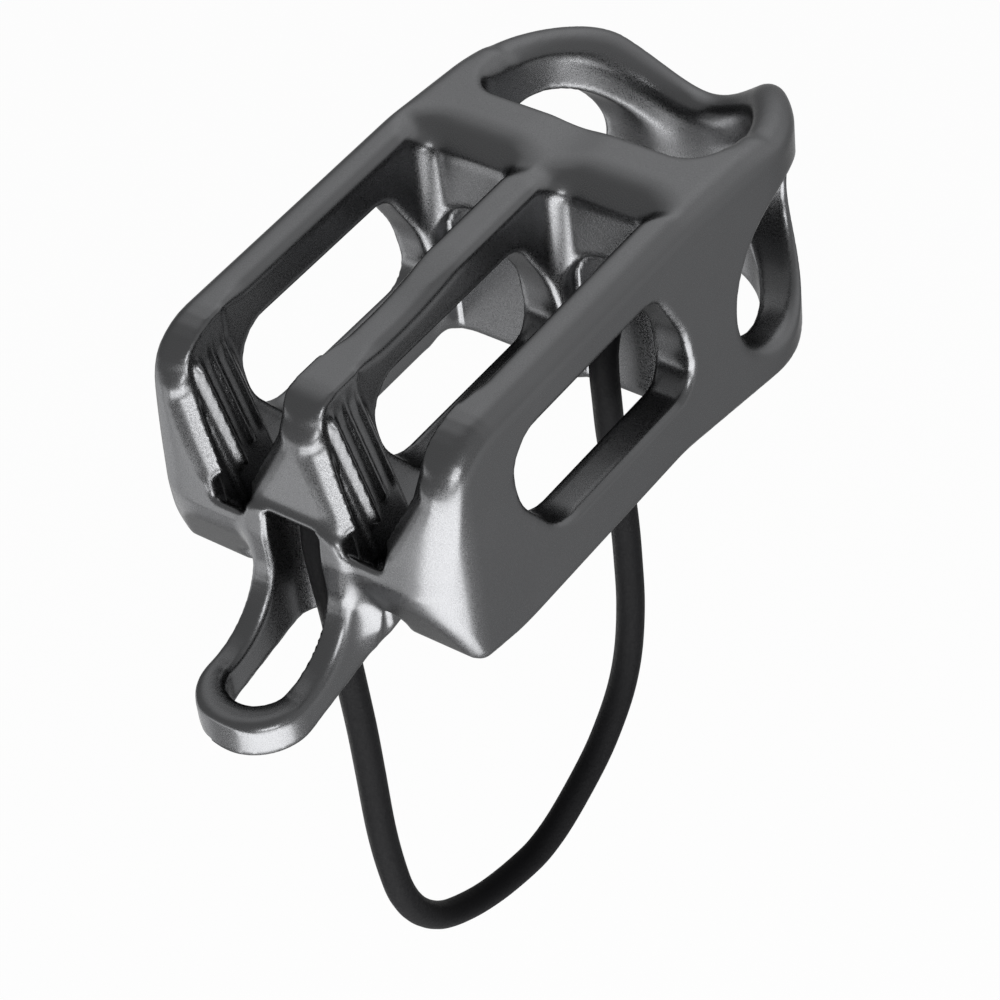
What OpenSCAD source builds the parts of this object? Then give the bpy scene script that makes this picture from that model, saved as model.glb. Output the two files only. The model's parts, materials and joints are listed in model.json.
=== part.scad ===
// Guide mode belay device: a forged body with two rope slots, an anchor eye across its
// nose, a release tongue in front and a sheathed wire keeper loop below.
// Millimetres. The origin is the centre of the anchor eye, the eye's axis runs along X,
// the nose points to +Y and the rope slots open to +Z.

/* [Walls and slots] */
// Clear width of each rope slot
slot_w = 12; // [10.5:0.5:14]
// Thickness of each of the three walls
wall_t = 4.5; // [4:0.25:6]
// Reach of the body from the eye's centre to its front face
front_reach = 62.3; // [60:0.5:68]
// Height of the wall crests above the eye's centre
crest_h = 18.6; // [17.6:0.2:22]
// Depth of the walls' underside below the eye's centre
sole_h = 10.5; // [9.5:0.25:12]
// How far the front face leans back over its height
front_lean = 3.8; // [2:0.2:5]
// Radius where the front face turns into the crests, seen from the side
front_top_r = 7; // [4:0.5:8]
// Radius of the body's front corners, seen from above
front_corner_r = 5; // [3:0.5:5.5]
// Height above the eye's centre where the front face bevels back
front_knee_h = 1.2; // [0:0.2:2.4]
// Radius along the crests' outer edges
crest_r = 2.8; // [2:0.2:3]
// Radius along the crests' edges over the slots
slot_edge_r = 1.6; // [1:0.2:1.8]
// How much lower the middle wall's crest is at the front
middle_drop = 1.2; // [0.4:0.2:2]

/* [Nose] */
// Distance from the eye's centre forward to the centre of the round nose
nose_forward = 4; // [3:0.5:5]
// Depth of the nose's underside below the eye's centre
nose_sole_h = 14.5; // [13.5:0.25:16]
// Height of the rim above the eye's centre at the lowest point of its saddle
saddle_h = 7.6; // [7:0.2:10]
// Height of the rim's two lobes above the eye's centre
lobe_h = 16.4; // [15:0.2:17.4]
// Distance between the crests of the two lobes
lobe_span = 25; // [20:1:28]

/* [Anchor eye] */
// Bore of the anchor eye
eye_d = 19.6; // [17:0.2:20]
// Width of the straight bore in each ear, in from its outer face
eye_land = 6.5; // [5.5:0.25:7]
// How much the eye's radius grows from there to the middle of the round nose
eye_draft = 0.3; // [0.2:0.05:0.4]
// Distance from the eye's bore to the cross wall
eye_gap = 0.1; // [0.1:0.1:1]

/* [Cross wall] */
// Distance from the eye's centre forward to the slots' back wall
cross_forward = 18; // [17.5:0.25:20]
// Radius of the slots' back corners
slot_corner_r = 2.5; // [1.5:0.25:4]
// Radius of the pocket's front corners
pocket_corner_r = 3.5; // [2:0.5:5]
// Radius along the top back edge of the cross wall
cross_edge_r = 2; // [1:0.25:3]
// Radius of the arched recess at the back of each slot
arch_r = 5.4; // [4.6:0.1:5.6]
// Depth of the arched recess
arch_depth = 1.6; // [1:0.1:2.2]
// Height of the arch's centre above the eye's centre
arch_h = 3.4; // [2.5:0.1:4.5]

/* [Side windows] */
// Length of the windows along their top edge
window_l = 25; // [20:0.5:26]
// Height of the windows
window_h = 16; // [14:0.5:16.5]
// Thickness of the crest above the windows
window_crest_t = 4.8; // [4:0.2:6]
// How far the windows' back edge leans back
window_back_lean = 6; // [4:0.5:7]
// How far the windows' front edge leans forward
window_front_lean = 6.5; // [4:0.5:8]
// Radius of the windows' upper corners
window_top_r = 4; // [3:0.25:5]
// Radius of the windows' lower front corner
window_low_r = 6; // [3:0.5:7]

/* [Friction grooves] */
// Length of the narrowing grooves at the front of the slots
groove_l = 11.5; // [9:0.5:12]
// Width left at the foot of each groove
groove_foot_w = 2; // [1.5:0.25:3]
// Height above the eye's centre where a groove starts to narrow
groove_shoulder_h = 14.5; // [13:0.5:16]
// Depth of a groove's foot below the eye's centre
groove_foot_h = 0.5; // [0:0.25:2]
// Thickness of the apron that closes the foot of the grooves in front
apron_t = 5.2; // [4.8:0.2:6]
// Height of the apron's lip above the eye's centre
lip_h = 3.8; // [2.6:0.2:4.4]
// Length of the broad front rib on each groove flank, along the body
broad_rib_l = 4.8; // [4:0.1:5]
// How far the broad rib stands out of the flank
broad_rib_h = 1.4; // [0.8:0.1:1.8]
// Length of each narrow rib behind it, along the body
fine_rib_l = 1.4; // [1:0.1:1.5]
// How far the first narrow rib stands out of the flank
fine_rib_h = 0.8; // [0.4:0.1:1]
// Number of narrow ribs on each groove flank
fine_rib_n = 3; // [1:1:3]
// Distance from one narrow rib to the next
fine_rib_pitch = 2.2; // [1.8:0.1:2.2]

/* [Release tongue] */
// Width of the release tongue
tongue_w = 12.4; // [11:0.2:14]
// Thickness of the release tongue
tongue_t = 4.5; // [3.5:0.25:5.5]
// Reach of the tongue in front of the body
tongue_reach = 13.9; // [13.5:0.1:18]
// Width of the hole through the tongue
hole_w = 6.6; // [6.2:0.2:8]
// Width of metal left at the tongue's tip
tip_t = 3.4; // [3:0.2:4.5]
// Radius of the hollow between the tongue and the web above it
hollow_r = 8.5; // [7:0.5:10]
// Radius of the fillets between the tongue's sides and the body
root_r = 5; // [2:0.5:6]
// How much the tongue's underside rises from its tip to the middle wall
tongue_rise = 4; // [2:0.25:5]
// Height of the web's lower edge above the eye's centre
web_h = 4.4; // [3.4:0.2:5]

/* [Keeper cable] */
// Outer diameter of the sheathed cable
cable_d = 3.2; // [2.8:0.1:3.4]
// Diameter of the wire core
core_d = 2; // [1.6:0.1:2.4]
// Gap between the core and the sheath
core_gap = 0.05; // [0.03:0.01:0.1]
// Radial gap round the cable in its holes
cable_gap = 0.2; // [0.1:0.05:0.3]
// Diameter of the swaged end sleeves
ferrule_d = 4; // [3.8:0.1:4.4]
// Length of the swaged end sleeves
ferrule_l = 5; // [4:0.25:5.5]
// Radial gap round an end sleeve in its pocket
ferrule_gap = 0.1; // [0.05:0.05:0.2]
// Slit between a fixed strand and the swaying loop
sway_gap = 0.7; // [0.6:0.05:0.9]

/* [Hidden] */
$fn = 48;
over = 1;
far = 60;

// Widths across the three walls and two slots
slot_x = (wall_t + slot_w) / 2;
body_w = 3 * wall_t + 2 * slot_w;
half_w = body_w / 2;
nose_in_r = half_w - wall_t;

// Places along the body, from the eye's centre
slot_back = -cross_forward;
pocket_front = -eye_d / 2 - eye_gap;
groove_back = groove_l - front_reach;
hole_back = 6.1 - front_reach;
tongue_tip = -front_reach - tongue_reach;
hole_tip = tongue_tip + tip_t;

// The side outline: y, z and corner radius, from the front of the crest round to the sole
crest_fall = 0.5;
front_foot_h = sole_h - 1.5;
front_foot = 4.7 - front_reach;
side_outline = [
  [front_lean - front_reach, crest_h - crest_fall, front_top_r],
  [-front_reach, front_knee_h, 3],
  [front_foot, -front_foot_h, 2.5],
  [12 - front_reach, -sole_h, 30],
  [slot_back - 3, -sole_h, 20],
  [2, -nose_sole_h, 20],
  [half_w + over, -nose_sole_h, 0],
  [half_w + over, lobe_h - 1.5, 0],
  [8, lobe_h, 20],
  [-9, crest_h, 25],
];

// The windows' outline: y, z and corner radius
window_top = crest_h - window_crest_t;
window_foot = window_top - window_h;
window_back = slot_back - 6.5;
window_front = window_back - window_l;
window_outline = [
  [window_front, window_top, window_top_r],
  [window_front + window_front_lean * 0.12, window_foot + window_h * 0.5, 9],
  [window_front + window_front_lean, window_foot, window_low_r],
  [window_back + window_back_lean, window_foot, 3],
  [window_back + window_back_lean * 0.75, window_foot + window_h * 0.5, 12],
  [window_back, window_top, window_top_r],
];

// The cable's two holes: the rear one climbs back through the cross wall, the front one
// climbs into the web
rear_tilt = 45;
rear_mouth = [slot_x - 0.2, slot_back + arch_depth - 0.4, arch_h];
front_tilt = 15;
front_mouth = [0.5, hole_back - 1.9, web_h];
rear_exit = (pocket_front - rear_mouth[1]) / sin(rear_tilt);
rear_seat = rear_exit - ferrule_d / 2 / tan(rear_tilt) - ferrule_l - 0.4;
front_seat = 2.5;

// The cable's routes, by hand: the two fixed strands inside the body and the loop below
sleeve_depth = ferrule_l - 1;
rear_route = [
  rear_mouth + along(rear_tilt, rear_seat), rear_mouth + along(rear_tilt, 1),
  rear_mouth + along(rear_tilt, -1.2), [8.1, -19, 0.7], [8.2, -20, -1.6], [8.3, -20.4, -4.5],
  [8.4, -20.5, -8], [8.4, -20.4, -12.6]];
front_route = [
  front_mouth + along(front_tilt, front_seat), front_mouth, [0.6, -58.7, 0],
  [0.7, -58.6, -5], [0.8, -58.3, -10], [0.9, -58.1, -15.6]];
loop_route = [
  [0.9, -58.1, -15.6 - sway_gap], [0.9, -57.8, -21.5], [1, -57.6, -28], [1, -57.5, -34.5],
  [1.1, -57.5, -43.5], [1.2, -57, -50.5], [1.3, -56.1, -55.8], [1.5, -54.2, -60.4],
  [1.9, -51.2, -64], [2.6, -47.5, -65.8], [3.5, -43.6, -66.4], [4.5, -39.2, -66.1],
  [5.2, -36.2, -65.2], [6, -32.7, -62.8], [7, -27.8, -58.2], [7.6, -24.9, -54.4],
  [8.1, -22.5, -50], [8.4, -20.9, -45], [8.6, -20, -38.5], [8.6, -19.7, -32],
  [8.6, -19.7, -26], [8.5, -20, -19], [8.4, -20.4, -12.6 - sway_gap]];

function along(tilt, reach) = [0, sin(tilt) * reach, cos(tilt) * reach];
function unit(v) = v / norm(v);
function ease(t) = let (u = min(max(t, 0), 1)) u * u * (3 - 2 * u);

// One corner of an outline: the arc of radius r that touches both of its edges
function corner(before, here, after, r, steps = 6) =
  r == 0 ? [here] :
  let (a = unit(before - here), b = unit(after - here),
       half = acos(a * b) / 2,
       middle = here + unit(a + b) * r / sin(half),
       from = here + a * r / tan(half) - middle,
       to = here + b * r / tan(half) - middle,
       turn = 180 - 2 * half)
  [for (i = [0:steps]) middle + (from * sin(turn * (1 - i / steps)) + to * sin(turn * i / steps)) / sin(turn)];

// A closed outline with each of its corners rounded
function rounded(corners) =
  let (n = len(corners), at = [for (c = corners) [c[0], c[1]]])
  [for (i = [0:n - 1]) each corner(at[(i + n - 1) % n], at[i], at[(i + 1) % n], corners[i][2])];

// A smooth curve through the route's points, cut into short steps
function between(a, b, c, d, t) =
  0.5 * (2 * b + (c - a) * t + (2 * a - 5 * b + 4 * c - d) * t * t + (3 * b - a - 3 * c + d) * t * t * t);
function curve(route, steps) =
  let (n = len(route), before = 2 * route[0] - route[1], after = 2 * route[n - 1] - route[n - 2])
  [for (i = [0:n - 2]) for (k = [0:steps - 1])
     between(i == 0 ? before : route[i - 1], route[i], route[i + 1],
             i == n - 2 ? after : route[i + 2], k / steps), route[n - 1]];

// A round tube swept along a curve: a ring of points square to the curve at each step
module tube(path, d, sides = 8) {
  n = len(path);
  side = [1, 0, 0];
  rings = [for (i = [0:n - 1])
    let (ahead = unit(path[min(i + 1, n - 1)] - path[max(i - 1, 0)]),
         u = unit(side - (side * ahead) * ahead), v = cross(ahead, u))
    for (k = [0:sides - 1])
      path[i] + d / 2 * (cos(360 * k / sides) * u + sin(360 * k / sides) * v)];
  walls = [for (i = [0:n - 2]) for (k = [0:sides - 1])
    let (a = i * sides + k, b = i * sides + (k + 1) % sides)
    each [[a, b, a + sides], [b, b + sides, a + sides]]];
  start = [for (k = [1:sides - 2]) [0, k + 1, k]];
  last = (n - 1) * sides;
  end = [for (k = [1:sides - 2]) [last, last + k, last + k + 1]];
  polyhedron(points = rings, faces = [for (f = concat(walls, start, end)) [f[2], f[1], f[0]]]);
}

// Lays an outline drawn in y and z across the body's width
module across(w) {
  rotate([90, 0, 90]) translate([0, 0, -w / 2]) linear_extrude(w) children();
}

// Lays an outline drawn in x and z along the body, from y = a to y = b
module lengthwise(a, b) {
  translate([0, b, 0]) rotate([90, 0, 0]) linear_extrude(b - a) children();
}

// The body seen from above: a block with a round nose
module plan_outline() {
  translate([0, -nose_forward]) circle(half_w, $fn = 96);
  polygon(rounded([
    [half_w, -nose_forward, 0], [-half_w, -nose_forward, 0],
    [-half_w, -front_reach, front_corner_r], [half_w, -front_reach, front_corner_r]]));
}

// The release tongue seen from above: a round tip and straight sides up to the middle wall
module tongue_plan() {
  tip_y = tongue_tip + tongue_w / 2;
  translate([0, tip_y]) circle(tongue_w / 2);
  root_x = tongue_w / 2 + root_r + 0.5;
  polygon(rounded([
    [-tongue_w / 2, tip_y, 0], [tongue_w / 2, tip_y, 0], [tongue_w / 2, front_foot - 0.4, root_r],
    [root_x, front_foot - 0.4, 0], [tongue_w / 2, front_foot + 1, 0],
    [wall_t / 2, groove_back + 2, 0], [-wall_t / 2, groove_back + 2, 0],
    [-tongue_w / 2, front_foot + 1, 0], [-root_x, front_foot - 0.4, 0],
    [-tongue_w / 2, front_foot - 0.4, root_r]]));
}

// The release tongue seen from the side: flat on top, then a hollow that climbs to the web
module tongue_side() {
  top = tongue_t - nose_sole_h;
  polygon([
    [tongue_tip, -nose_sole_h], [tongue_tip, top],
    for (i = [0:8]) [hollow_r * (sin(i * 90 / 8) - 1) - front_reach,
                     top + hollow_r * (1 - cos(i * 90 / 8))],
    [-front_reach, web_h - 1], [groove_back, web_h - 1],
    [groove_back + 2, tongue_rise - nose_sole_h], [front_foot, tongue_rise - nose_sole_h],
    [tongue_tip + tongue_w / 2, -nose_sole_h]]);
}

module tongue_form() {
  intersection() {
    across(tongue_w + over) tongue_side();
    translate([0, 0, -far / 2]) linear_extrude(far) tongue_plan();
  }
}

// The block that the forging starts from: its side, plan and front outlines at once
module outer_form() {
  intersection() {
    across(body_w + over) polygon(rounded(side_outline));
    translate([0, 0, -far / 2]) linear_extrude(far) plan_outline();
    union() {
      lengthwise(-front_reach - over, -nose_forward) polygon(rounded([
        [-half_w, -far / 2, 0], [half_w, -far / 2, 0],
        [half_w, crest_h, crest_r], [-half_w, crest_h, crest_r]]));
      translate([0, -nose_forward, 0]) rotate_extrude($fn = 96) polygon(rounded([
        [0, -far / 2, 0], [half_w, -far / 2, 0], [half_w, crest_h, crest_r], [0, crest_h, 0]]));
    }
  }
}

// A rope slot, open above and below, with round back corners
module slot_cut() {
  translate([slot_x, 0, -far / 2]) linear_extrude(far) {
    translate([-slot_w / 2, groove_back]) square([slot_w, slot_back - slot_corner_r - groove_back]);
    translate([slot_corner_r - slot_w / 2, groove_back])
      square([slot_w - 2 * slot_corner_r, slot_back - groove_back]);
    for (s = [-1, 1])
      translate([s * (slot_w / 2 - slot_corner_r), slot_back - slot_corner_r]) circle(slot_corner_r);
  }
}

// The narrowing groove in front of a slot, and the slit below it behind the apron
module groove_cut() {
  translate([slot_x, 0, 0]) {
    lengthwise(-front_reach - over, groove_back + 0.01) polygon([
      [-slot_w / 2, far / 2], [-slot_w / 2, groove_shoulder_h],
      [-groove_foot_w / 2, -groove_foot_h], [groove_foot_w / 2, -groove_foot_h],
      [slot_w / 2, groove_shoulder_h], [slot_w / 2, far / 2]]);
    translate([-groove_foot_w / 2, apron_t - front_reach, -far / 2])
      cube([groove_foot_w, groove_l - apron_t + 0.01, far / 2]);
  }
}

// The apron's lip: it fills the groove's foot in front and slopes down behind
module groove_lip() {
  translate([slot_x, 0, 0]) across(slot_w - 1) polygon(rounded([
    [-front_reach - over, -groove_foot_h - 1, 0], [-front_reach - over, lip_h, 0],
    [0.8 - front_reach, lip_h, 0.6], [apron_t - 1.2 - front_reach, -groove_foot_h + 0.01, 1],
    [apron_t - 0.2 - front_reach, -groove_foot_h - 1, 0]]));
}

// One rib on a groove's flank: a wedge with a long or steep front, laid along the flank
module flank_rib(y, l, h, crown, low, high) {
  linear_extrude(high - low) polygon(rounded([
    [-0.6, y, 0], [0.01, y, 0], [h, y + l * crown, 0.3], [h, y + l * crown + 0.4, 0.2],
    [h * 0.2, y + l - 0.05, 0], [-0.6, y + l, 0]]));
}

// The ribs on the two flanks of a groove, which run down and inward
module groove_ribs() {
  rise = groove_shoulder_h + groove_foot_h;
  inset = (slot_w - groove_foot_w) / 2;
  lean = atan(inset / rise);
  flank = norm([rise, inset]);
  fine_front = broad_rib_l + 0.9 - front_reach;
  for (s = [0, 1]) translate([slot_x, 0, -groove_foot_h]) mirror([s, 0, 0])
    translate([-groove_foot_w / 2, 0, 0]) rotate([0, -lean, 0]) {
      translate([0, 0, lip_h + groove_foot_h + 0.8])
        flank_rib(-front_reach, broad_rib_l, broad_rib_h, 0.76, lip_h + groove_foot_h, flank - 1.2);
      for (i = [0:fine_rib_n - 1]) translate([0, 0, 3 + i * 0.6])
        flank_rib(fine_front + i * fine_rib_pitch, fine_rib_l, fine_rib_h * (i == 0 ? 1 : 0.5), 0.35,
                  3 + i * 0.6, flank);
    }
}

// The pocket behind the cross wall, open above and below: a D with round front corners
module pocket_cut() {
  translate([0, 0, -far / 2]) linear_extrude(far) {
    intersection() {
      translate([0, -nose_forward]) circle(nose_in_r, $fn = 96);
      translate([-nose_in_r, -nose_forward - 0.01]) square(2 * nose_in_r);
    }
    translate([-nose_in_r, pocket_front + pocket_corner_r])
      square([2 * nose_in_r, -nose_forward - pocket_front - pocket_corner_r]);
    translate([pocket_corner_r - nose_in_r, pocket_front])
      square([2 * (nose_in_r - pocket_corner_r), -nose_forward - pocket_front]);
    for (s = [-1, 1])
      translate([s * (nose_in_r - pocket_corner_r), pocket_front + pocket_corner_r])
        circle(pocket_corner_r);
  }
}

// The anchor eye, bored through both ears, with its draft inside the round nose
module eye_cut() {
  r = eye_d / 2;
  run = half_w - eye_land;
  rotate([0, 90, 0]) translate([0, 0, -half_w - over])
    cylinder(h = body_w + 2 * over, r = r, $fn = 96);
  intersection() {
    rotate([0, 90, 0]) rotate_extrude($fn = 96)
      polygon([[0, -run], [r, -run], [r + eye_draft, 0], [r, run], [0, run]]);
    translate([-far / 2, -nose_forward, -far / 2]) cube(far);
  }
}

// The saddle in the nose's rim: low in the middle, rising on an even curve to two lobes
module saddle_cut() {
  lobe_x = lobe_span / 2;
  lengthwise((pocket_front - nose_forward) / 2, half_w + over) polygon([
    for (i = [-12:12]) [i / 12 * lobe_x, saddle_h + (lobe_h + 0.3 - saddle_h) * ease(abs(i) / 12)],
    [lobe_x, far / 2], [-lobe_x, far / 2]]);
}

// A strip with a round face that takes off a crest's edge: the edge runs along y at x = 0
module edge_strip(from, to, r) {
  lengthwise(from, to) difference() {
    translate([-r, -r]) square(r + over);
    translate([-r, -r]) circle(r, $fn = 32);
  }
}

// The round edges over the slots: along the outer walls and along the cross wall
module slot_edges_cut() {
  translate([slot_x + slot_w / 2, 0, crest_h]) mirror([1, 0, 0])
    edge_strip(groove_back, slot_back - slot_corner_r, slot_edge_r);
  run = slot_w / 2 - slot_corner_r;
  translate([slot_x, slot_back, crest_h]) rotate([0, 0, -90])
    edge_strip(-run, run, slot_edge_r + 0.8);
}

// The round edge along the top of the cross wall, over the pocket's straight front
module cross_edge_cut() {
  run = 2 * (nose_in_r - pocket_corner_r);
  translate([-run / 2, pocket_front - cross_edge_r, crest_h - cross_edge_r]) difference() {
    cube([run, cross_edge_r + over, cross_edge_r + over]);
    rotate([0, 90, 0]) translate([0, 0, -over]) cylinder(h = run + 2 * over, r = cross_edge_r);
  }
}

// The arched recess at the foot of a slot's back wall
module arch_cut() {
  translate([slot_x, slot_back + arch_depth, arch_h]) rotate([90, 0, 0])
    cylinder(h = arch_depth + slot_corner_r, r = arch_r);
  translate([slot_x - arch_r, slot_back - slot_corner_r, -far / 2])
    cube([2 * arch_r, arch_depth + slot_corner_r, far / 2 + arch_h]);
}

// The slope that lets the middle wall's crest fall towards the front
module middle_crest_cut() {
  across(wall_t + slot_w / 2) polygon([
    [-front_reach - over, crest_h - crest_fall - middle_drop], [-32, crest_h - middle_drop],
    [slot_back - 3, crest_h + 0.1], [slot_back - 3, far / 2], [-front_reach - over, far / 2]]);
}

// A cable hole with its wider pocket for the end sleeve: reach is where the sleeve seats
module cable_hole(mouth, tilt, reach, sleeve_room) {
  translate(mouth) rotate([-tilt, 0, 0]) {
    translate([0, 0, -2]) cylinder(h = reach + 3, d = cable_d + 2 * cable_gap, $fn = 32);
    translate([0, 0, reach]) cylinder(h = sleeve_room, d = ferrule_d + 2 * ferrule_gap, $fn = 32);
  }
}

// The end sleeve seated in its pocket, swaged on the bare wire
module ferrule(mouth, tilt, reach) {
  translate(mouth) rotate([-tilt, 0, 0]) translate([0, 0, reach + 0.02]) difference() {
    cylinder(h = ferrule_l, d = ferrule_d, $fn = 32);
    translate([0, 0, -over])
      cylinder(h = sleeve_depth + 0.2 + over, d = core_d + 2 * core_gap, $fn = 24);
  }
}

module body() {
  color("dimgray") difference() {
    union() {
      difference() {
        union() {
          outer_form();
          tongue_form();
        }
        for (s = [0, 1]) mirror([s, 0, 0]) {
          slot_cut();
          groove_cut();
          slot_edges_cut();
          arch_cut();
        }
        middle_crest_cut();
        pocket_cut();
        saddle_cut();
        cross_edge_cut();
      }
      intersection() {
        outer_form();
        for (s = [0, 1]) mirror([s, 0, 0]) {
          groove_ribs();
          groove_lip();
        }
      }
    }
    across(body_w + 2 * over) polygon(rounded(window_outline));
    eye_cut();
    translate([0, 0, -far / 2]) linear_extrude(far / 2 + web_h) {
      for (y = [hole_tip + hole_w / 2, hole_back - hole_w / 2]) translate([0, y]) circle(hole_w / 2);
      translate([-hole_w / 2, hole_tip + hole_w / 2]) square([hole_w, hole_back - hole_tip - hole_w]);
    }
    cable_hole(rear_mouth, rear_tilt, rear_seat, far);
    cable_hole(front_mouth, front_tilt, front_seat, ferrule_l + 0.4);
  }
}

// A wire core: it follows the route, and enters the end sleeve at the given inner end
module core(route, steps, inner_end = []) {
  tube(concat(inner_end, curve(route, steps)), core_d);
}

// The sheath round a core, open at both ends
module sheath(route, steps) {
  difference() {
    tube(curve(route, steps), cable_d);
    tube(overrun(curve(route, steps)), core_d + 2 * core_gap);
  }
}

// The same path with both of its ends carried a little further
function overrun(path) =
  let (n = len(path))
  [path[0] + unit(path[0] - path[1]) * 0.5, for (i = [1:n - 2]) path[i],
   path[n - 1] + unit(path[n - 1] - path[n - 2]) * 0.5];

module rear_ferrule() {
  color("silver") ferrule(rear_mouth, rear_tilt, rear_seat);
}

module front_ferrule() {
  color("silver") ferrule(front_mouth, front_tilt, front_seat);
}

module rear_strand_core() {
  inner = rear_mouth + along(rear_tilt, rear_seat + sleeve_depth);
  color("lightsteelblue") core(rear_route, 2, [inner]);
}

module rear_strand_sheath() {
  color("black") sheath(rear_route, 2);
}

module front_strand_core() {
  inner = front_mouth + along(front_tilt, front_seat + sleeve_depth);
  color("lightsteelblue") core(front_route, 1, [inner]);
}

module front_strand_sheath() {
  color("black") sheath(front_route, 1);
}

module loop_core() {
  color("lightsteelblue") core(loop_route, 2);
}

module loop_sheath() {
  color("black") sheath(loop_route, 2);
}

body();
rear_ferrule();
front_ferrule();
rear_strand_core();
rear_strand_sheath();
front_strand_core();
front_strand_sheath();
loop_core();
loop_sheath();
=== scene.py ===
"""Looks of a guide mode belay device: a satin anodised forging, its cable loop and a studio.

The forging is one smooth skin worked out from a distance formula. Every length inside the
formulas is in millimetres in the frame's own axes: X along the anchor eye, +Y to the nose,
+Z out of the rope slots. Meshes are written in metres.
"""

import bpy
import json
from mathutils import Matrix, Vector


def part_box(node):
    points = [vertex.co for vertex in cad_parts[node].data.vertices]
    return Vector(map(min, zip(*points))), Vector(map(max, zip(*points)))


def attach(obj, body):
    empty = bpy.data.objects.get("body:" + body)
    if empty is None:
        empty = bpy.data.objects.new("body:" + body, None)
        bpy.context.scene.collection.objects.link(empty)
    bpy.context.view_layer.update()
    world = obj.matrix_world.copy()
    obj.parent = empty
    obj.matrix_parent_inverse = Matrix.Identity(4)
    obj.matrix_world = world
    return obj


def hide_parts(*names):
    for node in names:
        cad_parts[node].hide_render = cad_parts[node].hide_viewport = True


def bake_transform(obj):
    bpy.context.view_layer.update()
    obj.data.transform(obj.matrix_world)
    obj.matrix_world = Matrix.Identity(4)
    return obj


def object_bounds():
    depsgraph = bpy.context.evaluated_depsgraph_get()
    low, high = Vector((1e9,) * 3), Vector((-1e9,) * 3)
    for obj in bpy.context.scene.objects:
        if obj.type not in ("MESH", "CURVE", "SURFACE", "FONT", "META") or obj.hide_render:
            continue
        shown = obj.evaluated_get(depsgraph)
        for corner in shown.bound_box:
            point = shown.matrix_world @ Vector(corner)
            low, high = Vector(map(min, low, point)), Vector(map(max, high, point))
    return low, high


bl_info = {
    "name": "Belay Device Looks",
    "version": (1, 0, 0),
    "blender": (4, 5, 0),
    "location": "View3D > Sidebar > Belay Device",
    "description": "Builds the finish, the cable and the studio of a guide mode belay device",
    "category": "Add Mesh",
}

import json
import math

import bpy
import numpy as np
from bpy.props import FloatProperty, FloatVectorProperty, PointerProperty
from mathutils import Matrix, Vector

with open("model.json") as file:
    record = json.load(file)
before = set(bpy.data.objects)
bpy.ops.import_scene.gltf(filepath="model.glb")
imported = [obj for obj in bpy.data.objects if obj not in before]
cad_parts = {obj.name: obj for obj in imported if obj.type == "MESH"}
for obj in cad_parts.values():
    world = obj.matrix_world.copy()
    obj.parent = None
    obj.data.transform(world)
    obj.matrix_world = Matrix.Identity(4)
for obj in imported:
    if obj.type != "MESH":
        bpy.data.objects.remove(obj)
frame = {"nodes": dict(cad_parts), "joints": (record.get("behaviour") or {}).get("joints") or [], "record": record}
CAD_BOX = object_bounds()

# What the frame gives: the forging's box, half its width and the eye's radius in
# millimetres, and the hinge with its place in metres
MM = 0.001
BODY_LOW, BODY_HIGH = (np.array(c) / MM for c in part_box("body"))
HALF_W = float(BODY_HIGH[0])
ANCHOR_EYE = next(m for m in frame["record"]["mounts"] if m["name"] == "anchor_eye")
EYE_R = float(ANCHOR_EYE["dims"]["r_mm"])
HINGE = next(j for j in frame["joints"] if j["name"] == "keeper_sway")

# Widths of a wall and of a slot, and how far a slot's middle lies from the middle wall's
WALL_T = 4.5
SLOT_W = (2 * HALF_W - 3 * WALL_T) / 2
SLOT_X = (WALL_T + SLOT_W) / 2

# Places along the forging: the foot of its front face, the back of the grooves, the slots'
# back wall, the front of the nose's pocket and the centre of the round nose, then the radius
# of the pocket
FRONT_Y = -61.9
GROOVE_BACK_Y = -50.8
SLOT_BACK_Y = -18.0
POCKET_Y = -9.4
NOSE_Y = -4.0
NOSE_IN_R = HALF_W - WALL_T
# Places well outside the forging, where cuts that run through it start and end
BEFORE_Y = FRONT_Y - 20
BEYOND_Y = 40.0

# The sloping front face: its top edge's place and height, and its foot's height
CROWN_Y = -58.1
CROWN_Z = 18.1
CHIN_Z = 1.0
# Heights of the underside: below the slots, and below the nose and the tongue
WAIST_Z = -10.5
SOLE_Z = -14.5

# Side outline of the forging: y, z and corner radius. It runs on past the nose, whose plan
# cuts it short
SIDE_OUTLINE = (
    (CROWN_Y, CROWN_Z, 8.0), (FRONT_Y, CHIN_Z, 1.2), (-57.5, -9.2, 2.5), (-50.3, WAIST_Z, 30.0),
    (-21.0, WAIST_Z, 20.0), (2.0, SOLE_Z, 20.0), (30.0, SOLE_Z, 0.0), (30.0, 11.2, 0.0),
    (8.0, 14.9, 20.0), (-6.0, 17.6, 25.0), (-18.0, 18.6, 25.0),
)
# Outline of the side windows: y, z and corner radius
WINDOW_OUTLINE = (
    (-49.5, 12.9, 4.0), (-48.7, 4.9, 9.0), (-43.0, -3.0, 6.0),
    (-18.5, -3.1, 3.0), (-20.0, 4.9, 12.0), (-24.5, 12.9, 4.0),
)

# Steps in a rounded corner's arc, and a size too small to count
ARC_STEPS = 8
TINY = 1e-12
# A slanting face's gap, measured level or upright, is multiplied by this to come near its
# true distance
SLANT = 0.8


def unit(v):
    """The vector at a length of one."""
    return v / np.linalg.norm(v)


def fade(place, start, end):
    """A step from 0 at start to 1 at end, level at both: 3t squared minus 2t cubed."""
    t = np.clip((place - start) / (end - start), 0.0, 1.0)
    return t * t * (3 - 2 * t)


def ramp(place, start, end):
    """A fade from one value to another, where start and end are pairs of place and value."""
    return start[1] + (end[1] - start[1]) * fade(place, start[0], end[0])


def cut(a, b, r):
    """What lies in both forms: the larger distance, with an arc of radius r at their edge."""
    away = np.sqrt(np.maximum(r + a, 0) ** 2 + np.maximum(r + b, 0) ** 2)
    return np.minimum(np.maximum(a, b), -r) + away


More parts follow.
